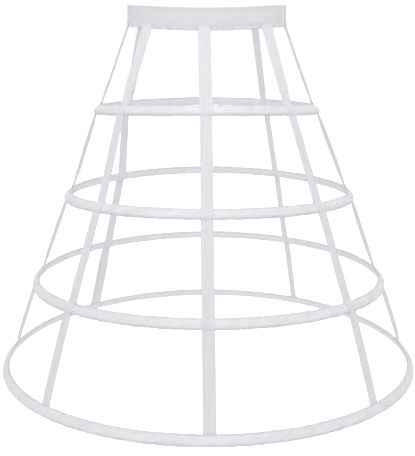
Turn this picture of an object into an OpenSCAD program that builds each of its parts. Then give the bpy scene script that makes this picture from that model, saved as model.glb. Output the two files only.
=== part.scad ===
// Crinoline cage: four cloth-cased hoops hung from an oval waistband by eight doubled ribbon tapes.
// Millimetres, +Z up, front towards -Y. The origin is the centre of the waist opening, halfway up
// the band at its sides. Angles run from the front towards +X.

/* [Hoops] */
// Diameter of the top hoop, along the middle of its tube
top_hoop_d = 571; // [480:1:640]
// Diameter of the bottom hoop, along the middle of its tube
bottom_hoop_d = 1089; // [900:1:1250]
// Height from one hoop to the next
hoop_drop = 222; // [160:1:260]
// Height from the middle of the waistband to the top hoop
waist_drop = 224; // [160:1:260]

/* [Hoop tubes] */
// Outside diameter of the plastic tube in each hoop
tube_d = 10; // [6:0.5:11]
// Wall of the plastic tube
tube_wall = 1; // [0.6:0.1:2]
// Gap left between the two ends of a tube
tube_gap = 2; // [1:0.5:6]
// Length of the metal sleeve that joins the two ends
joiner_l = 40; // [24:1:60]
// Wall of the joining sleeve
joiner_wall = 0.5; // [0.3:0.1:1]
// Angle round the cage at which the tubes are joined
join_angle = 164; // [155:1:172]

/* [Hoop casings] */
// Width of the cloth casing, along the slope of the cage
casing_w = 27; // [25:0.5:36]
// Wall of the casing, which is a ribbon with its seam allowance folded inside
casing_wall = 1.2; // [0.8:0.1:2]

/* [Tapes] */
// Width of a tape
tape_w = 29; // [20:0.5:36]
// Width of the tape at the back right, which is narrower
narrow_tape_w = 19; // [12:0.5:30]
// Thickness of one ply of the doubled ribbon
tape_ply = 0.5; // [0.3:0.1:0.8]
// Length above and below a casing over which the two plies part
pocket_lead = 5; // [3:0.5:10]
// Length of tape sewn to the outside of the waistband
tape_lap = 9; // [3:0.5:15]
// Length of tape caught in the upper seam of the bottom casing
tape_tuck = 6; // [3:0.5:6]

/* [Waistband] */
// Width of the band from side to side
waist_w = 402; // [340:1:460]
// Depth of the band from front to back
waist_d = 200; // [150:1:300]
// Height of the band
band_h = 50; // [36:1:70]
// How far the middle of the front hangs below the sides
front_sag = 13; // [0:1:20]
// How far the middle of the back hangs below the sides
back_sag = 6; // [0:1:20]
// Thickness of the band's cloth
band_cloth = 0.8; // [0.5:0.1:1.5]
// Height of the band that is sewn flat above and below the elastic
band_hem = 5; // [2:0.5:10]
// Thickness of the elastic
elastic_t = 1; // [0.6:0.1:2]

/* [Hidden] */
HOOP_COUNT = 4;
HEM = HOOP_COUNT - 1;
// How far each hoop has swung to the right of the waist, from the top down.
HOOP_SWING = [0, 6, 5, 4];
// Each tape's name, its width, and its angles at the waist and at each hoop from the top down.
TAPES = [
  ["tape_front", tape_w, [-1.8, -0.2, -0.8, -0.1, 0.3]],
  ["tape_front_right", tape_w, [47.6, 42.1, 43.8, 45.2, 44.9]],
  ["tape_right", tape_w, [91, 93, 93, 93, 93]],
  ["tape_back_right", narrow_tape_w, [140.5, 143.5, 146.2, 147.1, 147.6]],
  ["tape_back", tape_w, [181.8, 180.5, 181, 180.1, 179]],
  ["tape_back_left", tape_w, [233.7, 231.1, 225.2, 223.9, 223.5]],
  ["tape_left", tape_w, [270, 267, 267, 267, 267]],
  ["tape_front_left", tape_w, [313.1, 317.2, 316.3, 316, 316.3]]
];
TAPE_NAMES = [for (tape = TAPES) tape[0]];
function hoop_nodes(kind) = [for (i = [1:HOOP_COUNT]) str("hoop_", i, "_", kind)];
CASING_NAMES = hoop_nodes("casing");
TUBE_NAMES = hoop_nodes("tube");
JOINER_NAMES = hoop_nodes("joiner");

// Clearance of a tube in its sleeve, of a sleeve in its casing, and of cloth laid on cloth.
joiner_fit = 0.05;
casing_fit = 0.25;
cloth_fit = 0.3;
elastic_fit = 0.2;

joiner_d = tube_d + 2 * (joiner_fit + joiner_wall);
casing_t = joiner_d + 2 * (casing_fit + casing_wall);
band_t = elastic_t + 2 * (elastic_fit + band_cloth);
elastic_h = band_h - 2 * band_hem;
// Distance from the band's face to the middle of a tape that is sewn on it.
lap_offset = cloth_fit + tape_ply;

// Slope of the cage's side from the vertical, which every casing follows.
slope = atan2((bottom_hoop_d - top_hoop_d) / 2, hoop_drop * HEM);

// Where a tape's end lies in the bottom casing, down the slope from the hoop.
tuck_end = -casing_w / 2 + tape_tuck;

// A pocket opens as a rounded bulge: half its length, half its opening, and how full the bulge is.
pocket_half = casing_w / 2 + pocket_lead;
pocket_rise = casing_t / 2 + cloth_fit;
pocket_fullness = 1.5;
pocket_step = 22.5;
// Flat strips that a tape has across its width.
tape_strips = 4;

casing_sides = 28;
band_sides = 48;
round_fn = 96;
cloth_color = [0.89, 0.88, 0.91];
tape_color = [0.90, 0.90, 0.92];
band_color = [0.85, 0.85, 0.87];
tube_color = [0.80, 0.81, 0.82];
joiner_color = [0.62, 0.61, 0.58];
elastic_color = [0.94, 0.94, 0.93];

function degrees_of(arc, radius) = arc / radius * 180 / PI;
function hoop_r(i) = (top_hoop_d + (bottom_hoop_d - top_hoop_d) * i / HEM) / 2;
function hoop_z(i) = -waist_drop - hoop_drop * i;

// Radius and height of a point s down the slope from hoop i and n outwards from it.
function on_slope(i, s, n) = [
  hoop_r(i) + s * sin(slope) + n * cos(slope),
  hoop_z(i) - s * cos(slope) + n * sin(slope)
];

// The waist oval: its outward normal, a point at a distance outside the band's face, and its height.
function waist_normal(angle) =
  let (n = [sin(angle) / waist_w, -cos(angle) / waist_d]) n / norm(n);
function waist_point(angle, out) =
  [waist_w / 2 * sin(angle), -waist_d / 2 * cos(angle)] + out * waist_normal(angle);
function waist_speed(angle) = norm([waist_w / 2 * cos(angle), waist_d / 2 * sin(angle)]);
function waist_sag(angle) = -(cos(angle) > 0 ? front_sag : back_sag) * pow(cos(angle), 2);

// Two triangles for the four-cornered patch a b c d, given clockwise from outside, or turned over.
function patch(a, b, c, d, turned = false) =
  turned ? [[a, c, b], [a, d, c]] : [[a, b, c], [a, c, d]];

// A closed upright strip round the waist between two distances from the band's face.
module waist_loop(inner, outer, height) {
  corners = [[inner, -height / 2], [outer, -height / 2], [outer, height / 2], [inner, height / 2]];
  angles = [for (k = [0:band_sides - 1]) k * 360 / band_sides];
  points = [
    for (angle = angles, corner = corners)
      concat(waist_point(angle, corner[0]), waist_sag(angle) + corner[1])
  ];
  function at(k, c) = (k % band_sides) * 4 + c % 4;
  faces = [
    for (k = [0:band_sides - 1], c = [0:3])
      each patch(at(k, c), at(k, c + 1), at(k + 1, c + 1), at(k + 1, c))
  ];
  polyhedron(points, faces);
}

// The band is a strip of cloth folded round the elastic and sewn into a loop.
module waistband() {
  color(band_color) difference() {
    waist_loop(-band_t, 0, band_h);
    waist_loop(-band_t + band_cloth, -band_cloth, elastic_h + 2 * elastic_fit);
  }
}

module waist_elastic() {
  inset = band_cloth + elastic_fit;
  color(elastic_color) waist_loop(-band_t + inset, -inset, elastic_h);
}

// The flattened section of a casing, with its long axis on the slope.
module casing_section(i, width, thickness) {
  polygon([
    for (k = [0:casing_sides - 1])
      let (turn = k * 360 / casing_sides)
        on_slope(i, width / 2 * cos(turn), thickness / 2 * sin(turn))
  ]);
}

// Turns a section in the plane of radius and height round hoop i, through an arc centred on an angle.
module round_hoop(i, angle, arc) {
  translate([HOOP_SWING[i], 0, 0])
    rotate([0, 0, angle - 90 - arc / 2]) rotate_extrude(angle = arc, $fn = round_fn) children();
}

// A tape's angle at a point s down the slope from hoop i, which runs evenly from hoop to hoop.
function tape_angle(angles, i, s) =
  lookup(s * cos(slope) - hoop_z(i),
    [for (k = [0:HOOP_COUNT]) [k == 0 ? 0 : -hoop_z(k - 1), angles[k]]]);

// The opening in the bottom casing's upper seam that takes the end of a tape.
module tape_slot(width, angles) {
  half = tape_ply + cloth_fit;
  top = -casing_w / 2 - cloth_fit;
  bottom = tuck_end + cloth_fit;
  round_hoop(HEM, tape_angle(angles, HEM, (top + bottom) / 2),
             degrees_of(width + 2 * cloth_fit, hoop_r(HEM)))
    polygon([
      on_slope(HEM, top, -half), on_slope(HEM, top, half),
      on_slope(HEM, bottom, half), on_slope(HEM, bottom, -half)
    ]);
}

// A casing is a cloth sleeve round the whole hoop, with room inside for the tube and its joiner.
module hoop_casing(i) {
  color(cloth_color) difference() {
    translate([HOOP_SWING[i], 0, 0]) rotate_extrude($fn = round_fn) difference() {
      casing_section(i, casing_w, casing_t);
      casing_section(i, casing_w - 2 * casing_wall, casing_t - 2 * casing_wall);
    }
    if (i == HEM) for (tape = TAPES) tape_slot(tape[1], tape[2]);
  }
}

// The wall of a round tube, where it passes through the plane of radius and height at hoop i.
module tube_section(i, outside, inside) {
  translate([hoop_r(i), hoop_z(i)]) difference() {
    circle(d = outside, $fn = round_fn);
    circle(d = inside, $fn = round_fn);
  }
}

module hoop_tube(i) {
  color(tube_color)
    round_hoop(i, join_angle + 180, 360 - degrees_of(tube_gap, hoop_r(i)))
      tube_section(i, tube_d, tube_d - 2 * tube_wall);
}

module hoop_joiner(i) {
  color(joiner_color)
    round_hoop(i, join_angle, degrees_of(joiner_l, hoop_r(i)))
      tube_section(i, joiner_d, tube_d + 2 * joiner_fit);
}

// Where the points of a row lie across a tape, from one edge to the other.
function across_tape(width) = [for (k = [0:tape_strips]) (k / tape_strips - 0.5) * width];

// One row of a tape across its width at a hoop: its points, their outward direction and the half
// gap between the plies.
function hoop_row(i, s, gap, angle, width) =
  let (at = on_slope(i, s, 0))
  [for (x = across_tape(width))
    let (a = angle + degrees_of(x, at[0]))
    [[HOOP_SWING[i] + at[0] * sin(a), -at[0] * cos(a), at[1]],
     [cos(slope) * sin(a), -cos(slope) * cos(a), sin(slope)], gap]];

// One row of a tape across its width on the outside of the waistband.
function waist_row(angle, rise, width) =
  let (edge = waist_sag(angle) - band_h / 2)
  [for (x = across_tape(width))
    let (a = angle + degrees_of(x, waist_speed(angle)))
    [concat(waist_point(a, lap_offset), edge + rise), concat(waist_normal(a), 0), 0]];

// The rows of a tape from the waist down: its lap on the band, its pockets, and its tucked end.
function tape_rows(width, angles) = concat(
  [for (rise = [tape_lap, 0]) waist_row(angles[0], rise, width)],
  [for (i = [0:HEM - 1], turn = [0:pocket_step:180])
    let (s = -pocket_half * cos(turn), open = max(0, sin(turn)))
    hoop_row(i, s, pocket_rise * pow(open, pocket_fullness), tape_angle(angles, i, s), width)],
  [for (s = [-pocket_half, tuck_end]) hoop_row(HEM, s, 0, tape_angle(angles, HEM, s), width)]
);

// A tape is two plies of ribbon sewn together, parted into a pocket at each hoop but the last.
// Each row has four layers through it: two faces for each ply.
module tape(width, angles) {
  rows = tape_rows(width, angles);
  last = len(rows) - 1;
  points = [
    for (row = rows, p = row, layer = [p[2] + tape_ply, p[2], -p[2], -p[2] - tape_ply])
      p[0] + layer * p[1]
  ];
  function parted(k) = rows[k][0][2] > 0;
  function at(k, j, layer) =
    (k * (tape_strips + 1) + j) * 4 + (layer == 2 && !parted(k) ? 1 : layer);
  function across(k, j, layer, turned) =
    patch(at(k, j, layer), at(k, j + 1, layer), at(k + 1, j + 1, layer), at(k + 1, j, layer), turned);
  function edge(k, j, layer, turned) =
    patch(at(k, j, layer + 1), at(k, j, layer), at(k + 1, j, layer), at(k + 1, j, layer + 1), turned);
  function end(k, j, layer, turned) =
    patch(at(k, j, layer + 1), at(k, j + 1, layer + 1), at(k, j + 1, layer), at(k, j, layer), turned);
  faces = concat(
    [for (k = [0:last - 1], j = [0:tape_strips - 1])
      each concat(across(k, j, 0, false), across(k, j, 3, true))],
    [for (k = [0:last - 1], layer = [0, 2])
      each concat(edge(k, 0, layer, false), edge(k, tape_strips, layer, true))],
    [for (k = [0:last - 1], j = [0:tape_strips - 1])
      if (parted(k) || parted(k + 1)) each concat(across(k, j, 1, true), across(k, j, 2, false))],
    [for (j = [0:tape_strips - 1], layer = [0, 2])
      each concat(end(0, j, layer, false), end(last, j, layer, true))]
  );
  color(tape_color) polyhedron(points, faces);
}

waistband();
waist_elastic();
for (i = [0:HOOP_COUNT - 1]) {
  hoop_casing(i);
  hoop_tube(i);
  hoop_joiner(i);
}
for (t = TAPES)
  tape(t[1], t[2]);
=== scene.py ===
from math import ceil, cos, exp, hypot, pi, radians, sin, tau

import bpy
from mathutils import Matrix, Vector, noise


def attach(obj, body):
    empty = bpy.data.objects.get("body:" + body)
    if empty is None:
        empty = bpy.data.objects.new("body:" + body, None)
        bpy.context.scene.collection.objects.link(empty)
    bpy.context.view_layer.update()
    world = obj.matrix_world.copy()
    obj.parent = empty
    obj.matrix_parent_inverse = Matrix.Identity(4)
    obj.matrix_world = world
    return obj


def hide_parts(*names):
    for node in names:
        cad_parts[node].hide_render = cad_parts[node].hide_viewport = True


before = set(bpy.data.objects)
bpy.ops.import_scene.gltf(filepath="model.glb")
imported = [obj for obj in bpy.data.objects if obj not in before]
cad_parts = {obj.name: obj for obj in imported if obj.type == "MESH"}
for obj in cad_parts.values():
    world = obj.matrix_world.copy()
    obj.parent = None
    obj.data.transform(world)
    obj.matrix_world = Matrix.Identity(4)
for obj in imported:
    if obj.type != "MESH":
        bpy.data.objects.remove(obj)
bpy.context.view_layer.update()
scene = bpy.context.scene

# Camera: in front of the cage, a little below its waistband, looking slightly down at it as it
# hangs at its worn height.
camera_data = bpy.data.cameras.new("camera")
camera_data.sensor_width = 36
camera_data.lens = 60.07
camera = bpy.data.objects.new("camera", camera_data)
camera.location = (0.0021, -2.0034, -0.138)
camera.rotation_euler = (radians(78.357), 0, 0)
scene.collection.objects.link(camera)
scene.camera = camera


# Waist elastic: a flat braided elastic inside the band, which lets it pass over the hips. Rubber
# cores run round the waist under white braid.
class Socket:
    """An output of a node. Sums and products of sockets, or of a socket and a number, add nodes."""

    def __init__(self, tree, output=None):
        self.tree, self.output = tree, output

    def add(self, kind, settings=None, sockets=None, output=0):
        """A node of this type, with its settings, then the values or links of its sockets."""
        node = self.tree.nodes.new(kind)
        for name, value in (settings or {}).items():
            setattr(node, name, value)
        for name, value in (sockets or {}).items():
            if isinstance(value, Socket):
                self.tree.links.new(value.output, node.inputs[name])
            else:
                node.inputs[name].default_value = value
        return Socket(self.tree, node.outputs[output] if len(node.outputs) else None)

    def out(self, name):
        return Socket(self.tree, self.output.node.outputs[name])

    def math(self, operation, *values):
        return self.add("ShaderNodeMath", {"operation": operation}, dict(enumerate(values)))

    def __add__(self, other):
        return self.math("ADD", self, other)

    def __radd__(self, other):
        return self.math("ADD", other, self)

    def __sub__(self, other):
        return self.math("SUBTRACT", self, other)

    def __rsub__(self, other):
        return self.math("SUBTRACT", other, self)

    def __mul__(self, other):
        return self.math("MULTIPLY", self, other)

    def __rmul__(self, other):
        return self.math("MULTIPLY", other, self)

    def __truediv__(self, other):
        return self.math("DIVIDE", self, other)

    def __rtruediv__(self, other):
        return self.math("DIVIDE", other, self)

    def __pow__(self, other):
        return self.math("POWER", self, other)

    def __lt__(self, other):
        return self.math("LESS_THAN", self, other)

    def __abs__(self):
        return self.math("ABSOLUTE", self)


def sine(angle):
    return angle.math("SINE", angle)


def shade_between(factor, dark, light):
    """A colour from dark at 0 to light at 1, and on beyond either."""
    return factor.add("ShaderNodeMix", {"data_type": "RGBA", "clamp_factor": False},
                      {0: factor, 6: (*dark, 1), 7: (*light, 1)}, output=2)


def new_finish(name, **constants):
    """A material with one Principled shader: the material, a first socket and the shader."""
    material = bpy.data.materials.new(name)
    material.use_nodes = True
    shader = material.node_tree.nodes["Principled BSDF"]
    for socket, value in constants.items():
        shader.inputs[socket.replace("_", " ")].default_value = value
    return material, Socket(material.node_tree), shader


def finish_with(shader, start, colour, roughness, height, depth):
    """Feeds a shader its colour and roughness, and its normal from a bump of this depth."""
    bump = start.add("ShaderNodeBump", {}, {"Height": height, "Distance": depth, "Strength": 1.0})
    for name, value in (("Base Color", colour), ("Roughness", roughness), ("Normal", bump)):
        start.tree.links.new(value.output, shader.inputs[name])


def object_place(start):
    return start.add("ShaderNodeTexCoord", output="Object")


CORE_PITCH = 0.0028
BRAID_PITCH = 0.0016
braided_elastic, start, shader = new_finish("braided elastic", Sheen_Weight=0.15)
place = object_place(start)
xyz = place.add("ShaderNodeSeparateXYZ", {}, {0: place})
cores = abs(sine(xyz.out("Z") * (pi / CORE_PITCH)))
braid = abs(sine((xyz.out("X") + xyz.out("Y")) * (pi / BRAID_PITCH)))
finish_with(shader, start, shade_between(cores * braid, (0.72, 0.72, 0.71), (0.86, 0.86, 0.85)),
            0.85 - 0.1 * cores, 0.7 * cores + 0.3 * braid, 0.0004)
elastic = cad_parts["waist_elastic"].data
elastic.materials.clear()
elastic.materials.append(braided_elastic)

# Waistband: a strip of white cloth folded lengthwise round the elastic and sewn into an oval. Its
# two raw edges are overlocked into a narrow hem along the bottom, and its front and back sag.
WAIST_HALF_WIDTH, WAIST_HALF_DEPTH = 0.201, 0.100
WAIST_FRONT_SAG, WAIST_BACK_SAG = 0.013, 0.006
BAND_HEIGHT, BAND_THICKNESS, BAND_HEM = 0.050, 0.003, 0.0073
BAND_FLAT = (0.106, 0.97)
BAND_STEPS, BAND_ROWS = 392, 48
BAND_JOIN_STEP = 76
BAND_CLOTH = 0.0006
HEM_STEP, PUCKER_LENGTH = 0.0008, 0.006
# Beside the join of a strip's two ends: how far its groove reaches, and the cloth it keeps smooth.
JOIN_GROOVE, JOIN_SMOOTH = 0.0025, 0.022
HOOP_COUNT = 4
TAPE_WIDTH, NARROW_TAPE = 0.029, 0.019
# Each tape's width, how far its plies have slipped apart at the hem, its twist below the first
# hoop, how far it stands out to run outside the hoops, and its angles in degrees from the front
# towards +X, at the waist and at each hoop.
TAPES = {
    "tape_front": (TAPE_WIDTH, 0.0, 0.0, 0.0, (-1.8, -0.2, -0.8, -0.1, 0.3)),
    "tape_front_right": (TAPE_WIDTH, 0.0, 0.0, 0.0015, (47.6, 43.7, 43.8, 45.2, 44.9)),
    "tape_right": (TAPE_WIDTH, 0.0, -0.2, 0.003, (91, 93, 93, 93, 93)),
    "tape_back_right": (NARROW_TAPE, 0.0, 0.0, 0.0, (140.5, 143.5, 146.2, 147.1, 147.6)),
    "tape_back": (TAPE_WIDTH, 0.0, 0.0, 0.0, (181.8, 180.5, 181, 180.1, 179)),
    "tape_back_left": (TAPE_WIDTH, 0.004, 0.0, 0.0, (237, 233.2, 225.2, 223.9, 223.5)),
    "tape_left": (TAPE_WIDTH, 0.0, 0.16, 0.003, (270, 267, 267, 267, 267)),
    "tape_front_left": (TAPE_WIDTH, 0.0, 0.0, 0.0015, (313.1, 315.6, 316.3, 316, 316.3)),
}
STRIP_SIZES = (
    "Half width", "Half depth", "Swing", "Inset", "Height", "Front sag", "Back sag", "Slope",
    "Width", "Thickness", "Flatness", "Taper", "Cut width", "Seam turn", "Seam gap",
    "Seam gap at tapes", "Hem height", "Hem thinning", "Hem pucker", "Join turn", "Join depth",
    "Wrinkle depth", "Wrinkle length", "Wrinkle lean", "Side droop", "Seed", "Stitch line",
    "Tape half width", "Tape fade",
)
TAPE_INPUTS = [f"Angle of {name}" for name in TAPES]


def cosine(angle):
    return angle.math("COSINE", angle)


def eased(value, start, end):
    """0 before start, 1 after end, and a smooth rise between."""
    return value.add("ShaderNodeMapRange", {"interpolation_type": "SMOOTHSTEP"},
                     {"Value": value, "From Min": start, "From Max": end})


def mottle(place, scale, detail=2.0):
    """Soft noise from 0 to 1, with patches about 1 / scale across."""
    return place.add("ShaderNodeTexNoise", {},
                     {"Vector": place, "Scale": scale, "Detail": detail})


def stretched(place, x, y, z=1.0):
    return place.add("ShaderNodeMapping", {}, {"Vector": place, "Scale": (x, y, z)})


def new_tree(name, floats, integers=(), materials=()):
    """An empty geometry tree with these named inputs: the tree and its inputs by name."""
    tree = bpy.data.node_groups.new(name, "GeometryNodeTree")
    tree.interface.new_socket("Geometry", in_out="INPUT", socket_type="NodeSocketGeometry")
    tree.interface.new_socket("Geometry", in_out="OUTPUT", socket_type="NodeSocketGeometry")
    for kind, names in (("Float", floats), ("Int", integers), ("Material", materials)):
        for socket in names:
            tree.interface.new_socket(socket, in_out="INPUT", socket_type=f"NodeSocket{kind}")
    group = Socket(tree).add("NodeGroupInput")
    given = {s.name: Socket(tree, s) for s in group.output.node.outputs if s.name}
    return tree, given


def end_tree(tree, geometry, material):
    """Realizes the instances of a tree's result, gives it a material and makes it the output."""
    real = geometry.add("GeometryNodeRealizeInstances", {}, {"Geometry": geometry})
    dressed = real.add("GeometryNodeSetMaterial", {}, {"Geometry": real, "Material": material})
    dressed.add("NodeGroupOutput", {}, {"Geometry": dressed})


def grown(name, mesh, tree, **inputs):
    """A new mesh: what a geometry tree makes of a mesh with these inputs."""
    maker = bpy.data.objects.new(name, mesh)
    scene.collection.objects.link(maker)
    modifier = maker.modifiers.new(tree.name, "NODES")
    modifier.node_group = tree
    for socket in tree.interface.items_tree:
        if socket.in_out == "INPUT" and socket.name in inputs:
            modifier[socket.identifier] = inputs[socket.name]
    made = bpy.data.meshes.new_from_object(
        maker.evaluated_get(bpy.context.evaluated_depsgraph_get()))
    bpy.data.objects.remove(maker)
    return made


def ring_place(half_width, half_depth, around):
    return half_width * sine(around), -1 * half_depth * cosine(around)


# The tree that folds a strip into a ring serves the band, the hoop tubes and their casings. It
# bends a grid: X runs round the ring, and Y runs across the strip from one lip of its seam to
# the other.
strip_tree, given = new_tree(
    "folded strip", [*STRIP_SIZES, *TAPE_INPUTS], ["Steps round", "Steps across"], ["Cloth"])
start = given["Height"]
grid = start.add("GeometryNodeMeshGrid", {}, {
    "Size X": 1.0, "Size Y": 1.0,
    "Vertices X": given["Steps round"] + 1, "Vertices Y": given["Steps across"] + 1})
place = start.add("GeometryNodeInputPosition")
xyz = place.add("ShaderNodeSeparateXYZ", {}, {0: place})
share_round, share_across = xyz.out("X") + 0.5, xyz.out("Y") + 0.5
around = share_round * tau
turn = given["Seam turn"] - share_across * tau
half_width, half_depth = given["Half width"], given["Half depth"]
ring_x, ring_y = ring_place(half_width, half_depth, around)

# Cloth lies flat where a tape crosses it and beside the join, and wrinkles between.
slack = None
for name in TAPE_INPUTS:
    tape_x, tape_y = ring_place(half_width, half_depth, given[name])
    away = ((ring_x - tape_x) ** 2 + (ring_y - tape_y) ** 2) ** 0.5
    free = eased(away, given["Tape half width"], given["Tape half width"] + given["Tape fade"])
    slack = free if slack is None else slack * free
clear_of_tapes = slack
from_join = abs(around - given["Join turn"]) * half_width
slack = slack * eased(from_join, JOIN_SMOOTH, JOIN_SMOOTH + given["Tape fade"])

across = -0.5 * given["Width"] * cosine(turn)
bulge = sine(turn)
hem_top = 0.5 * given["Width"] - given["Hem height"]
on_hem = eased(across, hem_top - HEM_STEP, hem_top)

# The lips of the seam part where a tape goes in between them.
closed = eased(clear_of_tapes, 0.0, 0.15)
gap = given["Seam gap at tapes"] + closed * (given["Seam gap"] - given["Seam gap at tapes"])
through = (0.5 * given["Thickness"] * bulge.math("SIGN", bulge) * abs(bulge) ** given["Flatness"]
           * (1 - given["Taper"] * cosine(turn)) * (1 - given["Hem thinning"] * on_hem)
           - gap * cosine(share_across * pi) * cosine(given["Seam turn"]))


def wrinkle_field(lean, length, seed):
    """Noise whose ridges lean along the ring, and differ between the strip's two faces."""
    leaning = around + lean * across / half_width
    x, y = ring_place(half_width, half_depth, leaning)
    spot = start.add("ShaderNodeCombineXYZ", {}, {
        "X": x / length, "Y": y / length, "Z": 0.9 * bulge + seed})
    return mottle(spot, 1.0, 1.5)


lean, length, seed = given["Wrinkle lean"], given["Wrinkle length"], given["Seed"]
swell = wrinkle_field(lean, length, seed) - 0.5
ridge = 1 - eased(abs(wrinkle_field(1.3 * lean, 0.6 * length, seed + 7) - 0.5), 0.0, 0.13)
puckered = wrinkle_field(0.0, PUCKER_LENGTH, seed + 3) - 0.5
joined = 1 - eased(from_join, 0.0, JOIN_GROOVE)
lift = (slack * given["Wrinkle depth"] * (2.4 * swell + 0.9 * ridge - 0.15)
        + 2 * given["Hem pucker"] * on_hem * puckered - given["Join depth"] * joined)
normal_across = -1 * given["Thickness"] * cosine(turn)
normal_through = given["Width"] * bulge
normal_size = (normal_across ** 2 + normal_through ** 2) ** 0.5
across = across + lift * normal_across / normal_size
through = through + lift * normal_through / normal_size

# From across and through the strip to radius and height, on the strip's slope.
slope = given["Slope"]
outwards = across * sine(slope) + through * cosine(slope) - given["Inset"]
frontward = cosine(around)
sag = given["Front sag"] + (frontward < 0) * (given["Back sag"] - given["Front sag"])
height = (given["Height"] - sag * frontward ** 2 - given["Side droop"] * sine(around) ** 2
          - across * cosine(slope) + through * sine(slope))
normal_x, normal_y = sine(around) / half_width, -1 * cosine(around) / half_depth
normal_size = (normal_x ** 2 + normal_y ** 2) ** 0.5
bent = start.add("ShaderNodeCombineXYZ", {}, {
    "X": ring_x + outwards * normal_x / normal_size + given["Swing"],
    "Y": ring_y + outwards * normal_y / normal_size, "Z": height})
mapped = start.add("ShaderNodeCombineXYZ", {}, {
    "X": around * half_width, "Y": share_across * given["Cut width"], "Z": 0.0})

# Edges to sew: a line near each lip of the seam, one beside the join of the strip's ends, and the
# threads across the hem.
line = given["Stitch line"]
step_round, step_across = 1 / given["Steps round"], 1 / given["Steps across"]
sewn = ((abs(share_across - line) < 0.25 * step_across)
        + (abs(1 - share_across - line) < 0.25 * step_across)
        + (abs(share_round - given["Join turn"] / tau - 2 * step_round) < 0.25 * step_round))
column = share_round * given["Steps round"] + 0.25
overlocked = (column.math("FRACT", column) < 0.5) * (0.5 - on_hem < 0)
strip = grid.out("Mesh")
strip = strip.add("GeometryNodeStoreNamedAttribute", {"data_type": "FLOAT2", "domain": "CORNER"},
                  {"Geometry": strip, "Name": "UVMap", "Value": mapped})
for name, edges in (("sewn", sewn), ("overlocked", overlocked)):
    strip = strip.add("GeometryNodeStoreNamedAttribute", {"data_type": "BOOLEAN", "domain": "EDGE"},
                      {"Geometry": strip, "Name": name, "Value": edges})
strip = strip.add("GeometryNodeSetPosition", {}, {"Geometry": strip, "Position": bent})
strip = strip.add("GeometryNodeMergeByDistance", {}, {"Geometry": strip, "Distance": 0.00001})
strip = strip.add("GeometryNodeSetShadeSmooth", {}, {"Geometry": strip, "Shade Smooth": True})
end_tree(strip_tree, strip, given["Cloth"])


def walled_piece(name, face, wall):
    """A piece with this outer face and a wall of real thickness behind it."""
    piece = bpy.data.objects.new(name, face.copy())
    scene.collection.objects.link(piece)
    thickness = piece.modifiers.new("wall", "SOLIDIFY")
    thickness.thickness, thickness.offset = wall, -1
    thickness.use_even_offset = True
    solid = bpy.data.meshes.new_from_object(
        piece.evaluated_get(bpy.context.evaluated_depsgraph_get()))
    piece.modifiers.clear()
    piece.data = solid
    return piece


def woven(name, dark, light, thread, rib, gloss, grain, streaks, crumple, accent):
    """Cloth with ribs across, finer threads along it, long soft streaks and leaning creases, at the
    scale of its UV map in metres. The streaks are painted sheen and the folds and creases painted
    light and shade of the wrinkles, in its tone as well as its bumps. The accent adds to its tone
    at a place."""
    material, start, shader = new_finish(
        name, Sheen_Weight=0.1 * (1 - gloss), Sheen_Roughness=0.4,
        Specular_IOR_Level=0.25 + 0.5 * gloss)
    place = start.add("ShaderNodeUVMap", {"uv_map": "UVMap"})
    xyz = place.add("ShaderNodeSeparateXYZ", {}, {0: place})
    ribs = abs(sine(xyz.out("Y") * (pi / rib)))
    threads = abs(sine(xyz.out("X") * (pi / thread)))
    slub = mottle(stretched(place, 1500, 130), 1, 3)
    # The streaks are painted sheen in the tone, and bumps too.
    streak = mottle(stretched(place, *grain), 1, 2)
    cloud = mottle(place, 26, 3)
    # The leaning folds and creases are painted light and shade of the wrinkles in the tone, and
    # bumps too.
    leaning = start.add("ShaderNodeCombineXYZ", {}, {
        "X": 48 * (xyz.out("X") - 1.5 * xyz.out("Y")), "Y": 30 * xyz.out("Y"), "Z": 0.0})
    folds = mottle(leaning, 1, 2)
    crease = 1 - eased(abs(mottle(leaning, 1.4, 1) - 0.5), 0.0, 0.07)
    tone = (0.3 * ribs + 0.12 * threads + 0.18 * slub + 0.4 * cloud + streaks * (streak - 0.5)
            + crumple * (1.5 * (folds - 0.5) - 0.25 * crease) + 0.15
            + accent(place, xyz.out("X"), xyz.out("Y")))
    finish_with(shader, start, shade_between(tone, dark, light),
                0.74 - 0.4 * gloss + 0.12 * slub,
                0.7 * ribs + 0.3 * threads + 0.4 * slub + 0.8 * streak
                + crumple * (6 * folds - crease), 0.00025)
    return material


# Sewing: white thread in short lockstitches along the lines marked as sewn, and threads laid over
# the raw edges marked as overlocked.
STITCH_PITCH, STITCH_LENGTH, THREAD = 0.0036, 0.0029, 0.0005
stitch_tree, given = new_tree("row of stitches", ["Pitch", "Length", "Thread"], [], ["Cotton"])
cloth = given["Geometry"]
facing = cloth.add("GeometryNodeInputNormal")
cloth = cloth.add("GeometryNodeStoreNamedAttribute",
                  {"data_type": "FLOAT_VECTOR", "domain": "POINT"},
                  {"Geometry": cloth, "Name": "facing", "Value": facing})
sewn = cloth.add("GeometryNodeInputNamedAttribute", {"data_type": "BOOLEAN"}, {"Name": "sewn"})
seam = cloth.add("GeometryNodeMeshToCurve", {}, {"Mesh": cloth, "Selection": sewn})
seam = seam.add("GeometryNodeResampleCurve", {"mode": "LENGTH"},
                {"Curve": seam, "Length": given["Pitch"]})
bead = seam.add("GeometryNodeMeshUVSphere", {}, {"Segments": 5, "Rings": 3, "Radius": 0.5})
size = bead.add("ShaderNodeCombineXYZ", {},
                {"X": given["Thread"], "Y": given["Thread"], "Z": given["Length"]})
bead = bead.add("GeometryNodeTransform", {}, {"Geometry": bead.out("Mesh"), "Scale": size})
bead = bead.add("GeometryNodeSetShadeSmooth", {}, {"Geometry": bead, "Shade Smooth": True})
facing = seam.add("GeometryNodeInputNamedAttribute", {"data_type": "FLOAT_VECTOR"},
                  {"Name": "facing"})
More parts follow.
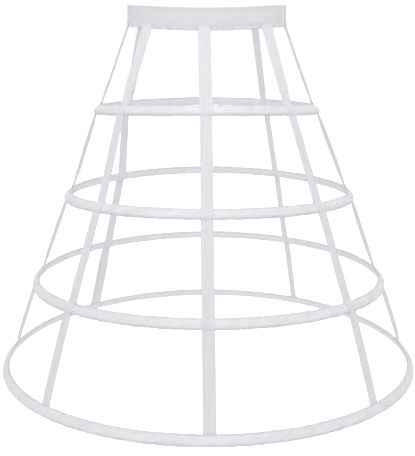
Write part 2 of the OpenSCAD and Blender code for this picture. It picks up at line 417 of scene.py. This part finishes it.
turned = seam.add("FunctionNodeAxesToRotation", {"primary_axis": "Z", "secondary_axis": "X"},
                  {"Primary Axis": seam.add("GeometryNodeInputTangent"), "Secondary Axis": facing})
stitches = seam.add("GeometryNodeInstanceOnPoints", {}, {
    "Points": seam, "Instance": bead, "Rotation": turned})
locked = cloth.add("GeometryNodeInputNamedAttribute", {"data_type": "BOOLEAN"},
                   {"Name": "overlocked"})
whipped = cloth.add("GeometryNodeMeshToCurve", {}, {"Mesh": cloth, "Selection": locked})
strand = whipped.add("GeometryNodeCurvePrimitiveCircle", {},
                     {"Resolution": 5, "Radius": 0.5 * given["Thread"]})
whipped = whipped.add("GeometryNodeCurveToMesh", {},
                      {"Curve": whipped, "Profile Curve": strand, "Fill Caps": True})
sewing = stitches.add("GeometryNodeJoinGeometry", {}, {"Geometry": stitches})
sewing.tree.links.new(whipped.output, sewing.output.node.inputs["Geometry"])
end_tree(stitch_tree, sewing, given["Cotton"])

thread_cotton, start, shader = new_finish("sewing thread", Sheen_Weight=0.2)
twist = mottle(object_place(start), 2500, 2)
finish_with(shader, start, shade_between(twist, (0.72, 0.71, 0.74), (0.86, 0.85, 0.88)),
            0.6 + 0.2 * twist, twist, 0.00015)


def stitched(name, face):
    """The stitches of the lines that are marked as sewn on a piece's outer face."""
    mesh = grown(name, face.copy(), stitch_tree, Pitch=STITCH_PITCH, Length=STITCH_LENGTH,
                 Thread=THREAD, Cotton=thread_cotton)
    piece = bpy.data.objects.new(name, mesh)
    scene.collection.objects.link(piece)
    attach(piece, "root")
    return piece


def band_seams(place, x, y):
    """The speckled overlocked hem with painted shade along its lower edge, and the light lines of
    the join.
    """
    from_lip = 0.5 * BAND_FLAT[0] - abs(y - 0.5 * BAND_FLAT[0])
    hem = 1 - eased(from_lip, BAND_HEM - 0.0005, BAND_HEM + 0.0005)
    speckle = eased(mottle(stretched(place, 110, 260), 1, 2), 0.38, 0.62) - 0.5
    # Painted shade along the band's lower edge.
    painted_lower_shade = 1 - eased(from_lip, 0.0006, 0.002)
    tone = hem * (4.5 * speckle + 1.1) - 1.8 * painted_lower_shade
    for line in (0.0, 0.011):
        join = WAIST_HALF_WIDTH * tau * BAND_JOIN_STEP / BAND_STEPS + line
        tone = tone + 1.4 * (1 - eased(abs(x - join), 0.001, 0.004))
    return tone


band_cloth = woven("band cloth", dark=(0.72, 0.71, 0.75), light=(0.83, 0.82, 0.85),
                   thread=0.0006, rib=0.0008, gloss=0.2, grain=(9, 110), streaks=0.9,
                   crumple=0.3, accent=band_seams)
tape_turns = [{label: radians(angles[level])
               for label, (*_, angles) in zip(TAPE_INPUTS, TAPES.values())}
              for level in range(HOOP_COUNT + 1)]
empty = bpy.data.meshes.new("empty")
band_face = grown("waistband", empty, strip_tree, **tape_turns[0], **{
    "Steps round": BAND_STEPS, "Steps across": BAND_ROWS, "Half width": WAIST_HALF_WIDTH,
    "Half depth": WAIST_HALF_DEPTH, "Swing": 0.0, "Inset": BAND_THICKNESS / 2, "Height": 0.0,
    "Front sag": WAIST_FRONT_SAG, "Back sag": WAIST_BACK_SAG, "Side droop": 0.0, "Slope": 0.0,
    "Width": BAND_HEIGHT, "Thickness": BAND_THICKNESS, "Flatness": 0.25, "Taper": 0.0,
    "Cut width": BAND_FLAT[0], "Seam turn": pi, "Seam gap": 0.0005,
    "Seam gap at tapes": 0.0005, "Hem height": BAND_HEM, "Hem thinning": 0.45,
    "Hem pucker": 0.0007, "Join turn": tau * BAND_JOIN_STEP / BAND_STEPS, "Join depth": 0.0005,
    "Wrinkle depth": 0.0004, "Wrinkle length": 0.03, "Wrinkle lean": 0.6, "Seed": 3.0,
    "Stitch line": 6 / BAND_ROWS, "Tape half width": TAPE_WIDTH / 2, "Tape fade": 0.02,
    "Cloth": band_cloth})
waistband = walled_piece("waistband_cloth", band_face, BAND_CLOTH)
band_stitches = stitched("waistband_stitches", band_face)
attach(waistband, "root")
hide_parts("waistband")

# Hoop tubes: a springy tube of milky white plastic in each casing, which holds the hoop round. It
# is extruded, cut to length and bent to a ring. None of the rings hangs quite true.
HOOP_RADII = [(0.571 + 0.518 * i / (HOOP_COUNT - 1)) / 2 for i in range(HOOP_COUNT)]
HOOP_HEIGHTS = [-0.224, -0.4436, -0.6658, -0.890]
# How far each hoop has swung to +X, hangs lower at its sides, is narrower at each side, and rises
# at its back.
HOOP_SWING = [0.0, 0.006, 0.005, 0.004]
HOOP_DROOP = [0.0085, 0.0075, 0.0082, 0.006]
HOOP_NARROWING = [0.005, 0.0032, 0.0008, 0.002]
HOOP_BACK_RISE = [0.0, 0.0035, 0.0, 0.0]
# The lean of a hoop's section from upright, and the place of its join, from the front towards +X.
HOOP_LEAN, JOIN_TURN = radians(32), radians(164)
RING_STEP = 0.0025
TUBE, TUBE_SIDES = 0.010, 12


def hoop_ring(i):
    """The inputs of the strip tree that hoop i's tube and casing share."""
    radius = HOOP_RADII[i]
    steps = ceil(tau * radius / RING_STEP)
    return {
        **tape_turns[i + 1], "Tape half width": TAPE_WIDTH / 2, "Tape fade": 0.018,
        "Steps round": steps, "Half width": radius - HOOP_NARROWING[i], "Half depth": radius,
        "Swing": HOOP_SWING[i], "Inset": 0.0, "Height": HOOP_HEIGHTS[i], "Front sag": 0.0,
        "Back sag": -HOOP_BACK_RISE[i], "Side droop": HOOP_DROOP[i], "Slope": HOOP_LEAN,
        "Flatness": 1.0, "Seam turn": 0.0, "Hem height": 0.0, "Hem thinning": 0.0,
        "Hem pucker": 0.0, "Join turn": tau * round(steps * JOIN_TURN / tau) / steps,
        "Seed": 11.0 + 5 * i}


milky_plastic, start, shader = new_finish(
    "milky drawn plastic", IOR=1.5, Specular_IOR_Level=0.4)
place = object_place(start)
cloud = mottle(place, 30)
scuff = mottle(place, 900, 3)
finish_with(shader, start, shade_between(cloud, (0.80, 0.80, 0.82), (0.88, 0.88, 0.89)),
            0.32 + 0.2 * scuff, scuff, 0.0001)
tubes = []
for i in range(HOOP_COUNT):
    tube_mesh = grown(f"hoop_{i + 1}_tube", empty, strip_tree, **hoop_ring(i), **{
        "Steps across": TUBE_SIDES, "Width": TUBE, "Thickness": TUBE, "Taper": 0.0,
        "Cut width": pi * TUBE, "Seam gap": 0.0, "Seam gap at tapes": 0.0, "Join depth": 0.0,
        "Wrinkle depth": 0.0, "Wrinkle length": 1.0, "Wrinkle lean": 0.0, "Stitch line": 0.0,
        "Cloth": milky_plastic})
    tube = bpy.data.objects.new(f"hoop_{i + 1}_tube_plastic", tube_mesh)
    scene.collection.objects.link(tube)
    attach(tube, "root")
    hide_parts(f"hoop_{i + 1}_tube")
    tubes.append(tube)

# Tube joiners: a short sleeve of drawn, plated steel in each hoop. It is pushed over the two ends
# of the tube, towards the back.
JOINER, JOINER_LENGTH, JOINER_WALL = 0.011, 0.040, 0.00045
JOINER_STEPS, JOINER_SIDES = 16, 24


def hoop_place(i, radius, height, angle):
    """A point of hoop i, or of a ring beside it, whose sides hang low and whose back rises."""
    return Vector((HOOP_SWING[i] + (radius - HOOP_NARROWING[i]) * sin(angle), -radius * cos(angle),
                   height - HOOP_DROOP[i] * sin(angle) ** 2
                   + HOOP_BACK_RISE[i] * min(0, cos(angle)) ** 2))


def joiner_face(i):
    """The outer face of the sleeve on hoop i's tube."""
    vertices, faces = [], []
    for k in range(JOINER_STEPS + 1):
        angle = JOIN_TURN + (k / JOINER_STEPS - 0.5) * JOINER_LENGTH / HOOP_RADII[i]
        middle = hoop_place(i, HOOP_RADII[i], HOOP_HEIGHTS[i], angle)
        for n in range(JOINER_SIDES):
            turn = tau * n / JOINER_SIDES
            around = Vector((sin(angle) * cos(turn), -cos(angle) * cos(turn), sin(turn)))
            vertices.append(middle + around * (JOINER / 2))
    for k in range(JOINER_STEPS):
        for n in range(JOINER_SIDES):
            after = (n + 1) % JOINER_SIDES
            faces.append((k * JOINER_SIDES + n, (k + 1) * JOINER_SIDES + n,
                          (k + 1) * JOINER_SIDES + after, k * JOINER_SIDES + after))
    mesh = bpy.data.meshes.new(f"hoop_{i + 1}_joiner")
    mesh.from_pydata(vertices, [], faces)
    mesh.shade_smooth()
    mesh.materials.append(plated_steel)
    return mesh


plated_steel, start, shader = new_finish("plated steel", Metallic=1.0)
place = object_place(start)
drawn = mottle(stretched(place, 40, 40, 900), 1.0, 4)
tarnish = mottle(place, 120)
finish_with(shader, start, shade_between(tarnish, (0.58, 0.57, 0.55), (0.74, 0.73, 0.71)),
            0.28 + 0.25 * drawn, drawn, 0.00005)
for i in range(HOOP_COUNT):
    joiner = walled_piece(f"hoop_{i + 1}_joiner_steel", joiner_face(i), JOINER_WALL)
    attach(joiner, "root")
    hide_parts(f"hoop_{i + 1}_joiner")

# Hoop casings: each is a strip of white satin folded round its tube, with the two raw edges sewn
# together along the top. The sleeve is long for the hoop and a little twisted, so it wrinkles.
CASING_WIDTH, CASING_THICKNESS, CASING_TAPER = 0.0258, 0.0126, 0.4
CASING_ROWS, CASING_STRIP, CASING_CLOTH = 28, 0.064, 0.0004
# The lips of the sewn top lie close, but the hem's part where the tapes go in.
LIPS_CLOSE, LIPS_AT_TAPES = 0.0001, 0.0010


def fold_shade_and_lip_highlight(place, x, y):
    """Painted shade beside the sewn top and along the lower fold, and a painted highlight on the
    lips.
    """
    from_lip = 0.5 * CASING_STRIP - abs(y - 0.5 * CASING_STRIP)
    return (0.9 * (1 - eased(from_lip, 0.001, 0.005))
            - 0.7 * eased(abs(cosine(y * (tau / CASING_STRIP))), 0.55, 1.0))


# The satin's accent is painted shade at its top and lower folds and a painted highlight on its
# lips.
casing_cloth = woven("satin", dark=(0.81, 0.80, 0.84), light=(0.96, 0.95, 0.985), thread=0.0005,
                     rib=0.0007, gloss=0.8, grain=(12, 160), streaks=0.6, crumple=0.65,
                     accent=fold_shade_and_lip_highlight)
for i, (radius, tube) in enumerate(zip(HOOP_RADII, tubes)):
    face = grown(f"hoop_{i + 1}", empty, strip_tree, **hoop_ring(i), **{
        "Steps across": CASING_ROWS, "Width": CASING_WIDTH, "Thickness": CASING_THICKNESS,
        "Taper": CASING_TAPER, "Cut width": CASING_STRIP, "Seam gap": LIPS_CLOSE,
        "Seam gap at tapes": LIPS_AT_TAPES if i == HOOP_COUNT - 1 else LIPS_CLOSE,
        "Join depth": 0.0005, "Wrinkle depth": 0.0012, "Wrinkle length": 0.018,
        "Wrinkle lean": 2.0, "Stitch line": 2 / CASING_ROWS, "Cloth": casing_cloth})
    casing = walled_piece(f"hoop_{i + 1}_casing_cloth", face, CASING_CLOTH)
    stitches = stitched(f"hoop_{i + 1}_stitches", face)
    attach(casing, "root")
    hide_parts(f"hoop_{i + 1}_casing")
    tau * radius

# Tapes: eight ribbons, each doubled and sewn along both edges. The two plies part round the three
# upper hoops, the top is sewn to the outside of the band and the end is caught in the hem's seam.
TAPE_PLY, TAPE_CLOTH = 0.0005, 0.00042
TAPE_LAP, TAPE_CLEARANCE = 0.009, 0.0003
POCKET_HALF = CASING_WIDTH / 2 + TAPE_CLEARANCE
POCKET_RISE = CASING_THICKNESS / 2 + TAPE_CLEARANCE
POCKET_STEPS, POCKET_LEAD = 24, 0.003
TUCK_DEPTH = 0.006
TUCK_END = TUCK_DEPTH - CASING_WIDTH / 2
TAPE_STEP = 0.003
SEAM_INSET, SEAM_STEPS, SELVEDGE = 0.0022, 8, 0.0015
TACK_LEAD = 0.002
# The length over which a tape that stands out comes back to the hem's seam, and the start below
# the third hoop and the length of the slip between two plies.
STAND_FADE = 0.04
SLIP_START, SLIP_LENGTH = 0.02, 0.06
# How the ribbon hangs: how far it is held still and puckered beside a seam, then the height and
# the length of its hollows, waves, fluttering edges and puckers.
STILL_REACH, PINCH_REACH = 0.03, 0.012
CUP, CUP_LENGTH = 0.0011, 0.16
WAVE, WAVE_LENGTH = 0.0009, 0.07
FLUTTER, FLUTTER_LENGTH = 0.0007, 0.022
PINCH, PINCH_LENGTH = 0.00022, 0.00105


def tape_columns(width):
    """Places across a tape: its edges, its two lines of edge stitches, and even steps between."""
    half, seam = width / 2, width / 2 - SEAM_INSET
    between = [seam * (2 * k / SEAM_STEPS - 1) for k in range(SEAM_STEPS + 1)]
    return [-half, -half + SEAM_INSET / 3, *between, half - SEAM_INSET / 3, half]


def tape_angle(angles, drop):
    """A tape's angle at a height below the band's middle, which runs evenly from hoop to hoop."""
    drops = [0, *(-z for z in HOOP_HEIGHTS)]
    k = max(j for j in range(HOOP_COUNT) if drop >= drops[j] or j == 0)
    share = (drop - drops[k]) / (drops[k + 1] - drops[k])
    return radians(angles[k] + share * (angles[k + 1] - angles[k]))


def hoop_row(width, angles, i, s, gap):
    """A row across a tape, s down from hoop i: its edges and middle, outward and half its gap."""
    radius, z = HOOP_RADII[i] + s * sin(HOOP_LEAN), HOOP_HEIGHTS[i] - s * cos(HOOP_LEAN)
    angle = tape_angle(angles, -z)
    points = [hoop_place(i, radius, z, angle + side * width / 2 / radius) for side in (-1, 0, 1)]
    flat = cos(HOOP_LEAN)
    outward = Vector((flat * sin(angle), -flat * cos(angle), sin(HOOP_LEAN)))
    return points, outward, gap


def waist_row(width, angles, rise):
    """A row across a tape on the outside of the band, at a rise above its lower edge."""
    angle = radians(angles[0])
    speed = hypot(WAIST_HALF_WIDTH * cos(angle), WAIST_HALF_DEPTH * sin(angle))
    sag = WAIST_FRONT_SAG if cos(angle) > 0 else WAIST_BACK_SAG
    z = -sag * cos(angle) ** 2 - BAND_HEIGHT / 2 + rise
    points = []
    for side in (-1, 0, 1):
        a = angle + side * width / 2 / speed
        normal = Vector((sin(a) / WAIST_HALF_WIDTH, -cos(a) / WAIST_HALF_DEPTH, 0)).normalized()
        on_band = Vector((WAIST_HALF_WIDTH * sin(a), -WAIST_HALF_DEPTH * cos(a), z))
        points.append(on_band + normal * (TAPE_CLEARANCE + TAPE_PLY))
    outward = Vector((sin(angle) / WAIST_HALF_WIDTH, -cos(angle) / WAIST_HALF_DEPTH, 0))
    return points, outward.normalized(), 0


def tape_rows(width, angles):
    """The rows of a tape from its lap on the band to its end in the hem, those with tacks, how far
    along the tape is held and where its pockets are, and its length."""
    fixed = [waist_row(width, angles, rise) for rise in (TAPE_LAP, TAPE_LAP - TACK_LEAD, 0)]
    tacks = {1}
    for i in range(HOOP_COUNT - 1):
        tacks.add(len(fixed))
        fixed.append(hoop_row(width, angles, i, -POCKET_HALF - TACK_LEAD, 0))
        for k in range(POCKET_STEPS + 1):
            t = pi * k / POCKET_STEPS
            fixed.append(hoop_row(width, angles, i, -POCKET_HALF * cos(t),
                                  POCKET_RISE * max(0, sin(t)) * (1 - CASING_TAPER * cos(t))))
        tacks.add(len(fixed))
        fixed.append(hoop_row(width, angles, i, POCKET_HALF + TACK_LEAD, 0))
    fixed += [hoop_row(width, angles, HOOP_COUNT - 1, s, 0) for s in (-POCKET_HALF, TUCK_END)]
    rows, tacked, along, held, pockets = [], [], 0.0, [], []
    for k, (points, outward, gap) in enumerate(fixed):
        if k:
            last_points, last_outward, last_gap = fixed[k - 1]
            span = (points[1] - last_points[1]).length
            steps = max(1, round(span / TAPE_STEP))
            for j in range(1, steps):
                share = j / steps
                left, middle, right = (a.lerp(b, share) for a, b in zip(last_points, points))
                # Below the band the ribbon soon lies flat across.
                flat = (left + right) / 2
                middle = flat + (middle - flat) * (1 - share) ** 3
                rows.append(((left, middle, right), last_outward.lerp(outward, share).normalized(),
                             last_gap + share * (gap - last_gap), along + share * span))
            along += span
        if k in tacks:
            tacked.append(len(rows))
        held.append(along)
        if gap > 0:
            pockets.append(along)
        rows.append((points, outward, gap, along))
    return rows, tacked, held, pockets, along


def tape_face(name, width, slip, twist, stand, angles, seed, material):
    """The outer faces of a tape's two plies, hanging with a slight cup, wave and pucker."""
    rows, tacked, held, pockets, length = tape_rows(width, angles)
    places = tape_columns(width)
    columns = len(places)
    vertices, faces, uvs, seams = [], [], [], []
    for side in (1, -1):
        base = len(vertices)
        for points, outward, gap, along in rows:
            near = min(abs(along - h) for h in held)
            loose = 1 - exp(-(near / STILL_REACH) ** 2)
            pinch = exp(-(near / PINCH_REACH) ** 2) if gap == 0 else 0
            turned = twist if along > pockets[0] else 0
            half_chord = (points[2] - points[0]) / 2
            bow = (points[0] + points[2]) / 2 - points[1]
            below = max(0, HOOP_HEIGHTS[2] - SLIP_START - points[1].z)
            slipped = side * slip * min(1, below / SLIP_LENGTH)
            cup = CUP * noise.noise((along / CUP_LENGTH, seed, 0.3))
            wave = WAVE * noise.noise((along / WAVE_LENGTH, seed, 4.7))
            to_seam = max(0, length - POCKET_HALF - TUCK_END - along)
            out = stand * min(1, along / pockets[0]) * min(1, to_seam / STAND_FADE)
            if side < 0:
                out *= min(1, min(abs(along - p) for p in pockets) / POCKET_LEAD)
            part = max(gap, out) if side > 0 or gap == 0 else -gap
            for x in places:
                edge = 2 * x / width
                ripple = noise.noise((along / FLUTTER_LENGTH, seed, 9.1 + edge))
                flutter = FLUTTER * ripple * edge ** 2
                pucker = PINCH * sin(x / PINCH_LENGTH + seed) * pinch
                lift = loose * (turned * x + cup * edge ** 2 + wave + flutter) + pucker
                vertices.append(points[1] + half_chord * (edge + 2 * slipped / width)
                                + bow * edge ** 2 + outward * (lift + part + side * TAPE_PLY))
        for r in range(len(rows) - 1):
            for c in range(columns - 1):
                corners = [base + r * columns + c, base + r * columns + c + 1,
                           base + (r + 1) * columns + c + 1, base + (r + 1) * columns + c]
                faces.append(corners[::-1] if side > 0 else corners)
                square = [(places[c], rows[r][3]), (places[c + 1], rows[r][3]),
                          (places[c + 1], rows[r + 1][3]), (places[c], rows[r + 1][3])]
                uvs += square[::-1] if side > 0 else square
            if rows[r][2] == 0 and rows[r + 1][2] == 0:
                seams += [(base + r * columns + c, base + (r + 1) * columns + c)
                          for c in (2, columns - 3)]
        for r in tacked:
            seams += [(base + r * columns + c, base + r * columns + c + 1)
                      for c in range(2, columns - 3)]
    mesh = bpy.data.meshes.new(name)
    mesh.from_pydata(vertices, [], faces)
    mesh.uv_layers.new(name="UVMap").data.foreach_set("uv", [n for uv in uvs for n in uv])
    wanted = {frozenset(seam) for seam in seams}
    sewn = mesh.attributes.new("sewn", "BOOLEAN", "EDGE")
    sewn.data.foreach_set("value", [frozenset(edge.vertices) in wanted for edge in mesh.edges])
    mesh.shade_smooth()
    mesh.materials.append(material)
    return mesh, length


def selvedges(width):
    """The slightly darker woven edges of a ribbon."""
    return lambda place, x, y: -0.5 * eased(abs(x), width / 2 - SELVEDGE, width / 2)


tape_ribbons = {
    width: woven(f"ribbon {round(width * 1000)} mm wide", dark=(0.78, 0.77, 0.81),
                 light=(0.90, 0.89, 0.93), thread=0.0005, rib=0.0009, gloss=0.3,
                 grain=(180, 6), streaks=1.5, crumple=0.15, accent=selvedges(width))
    for width in sorted({width for width, *_ in TAPES.values()})}
for k, (name, (width, slip, twist, stand, angles)) in enumerate(TAPES.items()):
    face, length = tape_face(name, width, slip, twist, stand, angles, 2.5 + 3.1 * k,
                             tape_ribbons[width])
    tape = walled_piece(f"{name}_ribbon", face, TAPE_CLOTH)
    stitches = stitched(f"{name}_stitches", face)
    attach(tape, "root")
    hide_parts(name)
    2 * length

# Studio: a plain white floor below the hem, bright enough to lose its shadows, and soft white light
# from all round. A tall softbox in front lights the gloss alone, and a small one hangs above.
FLOOR_HEIGHT, FLOOR_SIZE = -1.1, 30
floor_mesh = bpy.data.meshes.new("floor")
floor_mesh.from_pydata([(x * FLOOR_SIZE, y * FLOOR_SIZE, FLOOR_HEIGHT)
                        for x, y in ((-1, -1), (1, -1), (1, 1), (-1, 1))], [], [(0, 1, 2, 3)])
white_floor, start, shader = new_finish(
    "white floor", Emission_Color=(1, 1, 1, 1), Emission_Strength=0.7)
grain = mottle(object_place(start), 4)
finish_with(shader, start, shade_between(grain, (0.86, 0.86, 0.86), (0.9, 0.9, 0.9)),
            0.7 + 0.1 * grain, grain, 0.0001)
floor_mesh.materials.append(white_floor)
floor = bpy.data.objects.new("floor", floor_mesh)
floor.visible_diffuse = False
floor.visible_glossy = False
scene.collection.objects.link(floor)

AMBIENT, AMBIENT_FROM_ABOVE = 0.86, 0.01
world = bpy.data.worlds.new("studio")
world.use_nodes = True
scene.world = world
start = Socket(world.node_tree)
ray = start.add("ShaderNodeTexCoord", output="Generated")
upward = ray.add("ShaderNodeSeparateXYZ", {}, {0: ray}).out("Z")
ambient = AMBIENT + AMBIENT_FROM_ABOVE * upward
seen = start.add("ShaderNodeLightPath", output="Is Camera Ray")
strength = ambient + seen * (1 - ambient)
backdrop = world.node_tree.nodes["Background"]
backdrop.inputs["Color"].default_value = (1, 1, 1, 1)
world.node_tree.links.new(strength.output, backdrop.inputs["Strength"])

# Each softbox's place, aim, width and height, power, and whether it lights matt surfaces too.
SOFTBOXES = {
    "upper softbox": ((0.0, -0.95, 0.65), (0, 0, -0.35), (0.5, 0.4), 2.0, True),
    "tall softbox": ((0.0, -2.3, 0.3), (0, 0, -0.45), (1.6, 2.0), 60.0, False),
}
for name, (place, target, size, power, lights_matt) in SOFTBOXES.items():
    lamp = bpy.data.lights.new(name, "AREA")
    lamp.shape, lamp.energy = "RECTANGLE", power
    lamp.size, lamp.size_y = size
    softbox = bpy.data.objects.new(name, lamp)
    softbox.location = place
    softbox.visible_diffuse = lights_matt
    aim = Vector(target) - softbox.location
    softbox.rotation_euler = aim.to_track_quat("-Z", "Y").to_euler()
    scene.collection.objects.link(softbox)

scene.view_settings.view_transform = "Standard"
